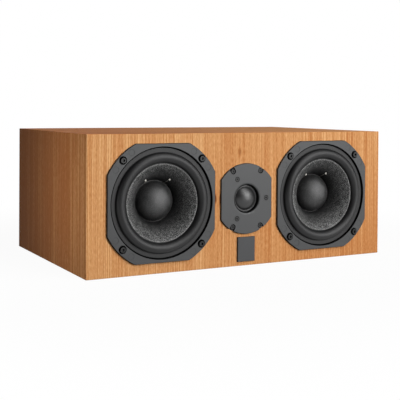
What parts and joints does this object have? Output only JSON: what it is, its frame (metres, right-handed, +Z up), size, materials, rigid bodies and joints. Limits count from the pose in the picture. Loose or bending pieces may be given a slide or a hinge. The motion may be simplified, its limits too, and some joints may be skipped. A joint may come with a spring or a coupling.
{
  "type": "center channel speaker",
  "caption": "Low wide veneered loudspeaker cabinet with bass units either side of a soft-dome treble unit, and screw-cap posts at the back.",
  "frame": {"origin": "middle of the cabinet's underside", "axes": "+X along the cabinet to the right as seen from the front, +Y from front to back, +Z up"},
  "size_m": [0.51, 0.3546, 0.2],
  "materials": {
    "veneer": "satin lacquered cherry veneer",
    "board": "raw fibreboard",
    "damping": "heavy bitumen felt",
    "wadding": "white polyester wadding",
    "frame": "cast, painted satin grey",
    "foam": "closed-cell foam",
    "rubber": "satin rubber",
    "cone": "doped woven fabric",
    "dome": "doped fine fabric",
    "coil": "enamelled copper wire",
    "spider": "impregnated cloth",
    "steel": "zinc plated",
    "ferrite": "sintered ferrite",
    "screw": "black oxide",
    "lead": "tinned braid",
    "laminate": "phenolic board",
    "plate": "satin moulded face",
    "badge": "satin grey",
    "terminal": "satin black",
    "gold": "gold plated",
    "red_cap": "clear red moulded",
    "black_cap": "black moulded",
    "capacitor": "film wrapped",
    "ceramic": "cement body"
  },
  "bodies": {
    "cabinet": {"front_baffle": "veneer", "top_panel": "veneer", "bottom_panel": "veneer", "left_side_panel": "veneer", "right_side_panel": "veneer", "rear_panel": "veneer", "left_brace": "board", "right_brace": "board", "damping_pads": "damping", "left_wadding": "wadding", "right_wadding": "wadding", "left_frame": "frame", "left_gasket": "foam", "left_surround": "rubber", "left_spider": "spider", "left_terminal_board": "laminate", "left_front_plate": "steel", "left_magnet": "ferrite", "left_yoke": "steel", "left_frame_screws": "screw", "right_frame": "frame", "right_gasket": "foam", "right_surround": "rubber", "right_spider": "spider", "right_terminal_board": "laminate", "right_front_plate": "steel", "right_magnet": "ferrite", "right_yoke": "steel", "right_frame_screws": "screw", "tweeter_plate": "plate", "tweeter_gasket": "foam", "tweeter_dome": "dome", "tweeter_voice_coil": "coil", "tweeter_front_plate": "steel", "tweeter_magnet": "ferrite", "tweeter_yoke": "steel", "tweeter_mounting_screws": "screw", "tweeter_assembly_screws": "screw", "badge_plate": "badge", "terminal_panel": "terminal", "terminal_screws": "screw", "binding_posts": "gold", "post_nuts": "gold", "crossover_board": "laminate", "board_standoffs": "terminal", "bass_inductor": "coil", "treble_inductor": "coil", "crossover_capacitors": "capacitor", "crossover_resistors": "ceramic"},
    "left_diaphragm": {"left_cone": "cone", "left_dust_dome": "dome", "left_voice_coil": "coil", "left_leads": "lead"},
    "right_diaphragm": {"right_cone": "cone", "right_dust_dome": "dome", "right_voice_coil": "coil", "right_leads": "lead"},
    "positive_cap": {"positive_post_cap": "red_cap"},
    "negative_cap": {"negative_post_cap": "black_cap"}
  },
  "joints": [
    {"name": "left_cone_travel", "type": "slide", "parent": "cabinet", "child": "left_diaphragm", "axis": [0, 1, 0], "range_m": [-0.004, 0.004], "stiffness_N_per_m": 1400, "deforming": ["left_surround", "left_spider", "left_leads"]},
    {"name": "right_cone_travel", "type": "slide", "parent": "cabinet", "child": "right_diaphragm", "axis": [0, 1, 0], "range_m": [-0.004, 0.004], "stiffness_N_per_m": 1400, "deforming": ["right_surround", "right_spider", "right_leads"]},
    {"name": "positive_cap_turn", "type": "hinge", "parent": "cabinet", "child": "positive_cap", "pos_m": [-0.016, 0.1765, 0.1], "axis": [0, 1, 0], "range_deg": [0, 1440]},
    {"name": "negative_cap_turn", "type": "hinge", "parent": "cabinet", "child": "negative_cap", "pos_m": [0.016, 0.1765, 0.1], "axis": [0, 1, 0], "range_deg": [0, 1440]}
  ]
}
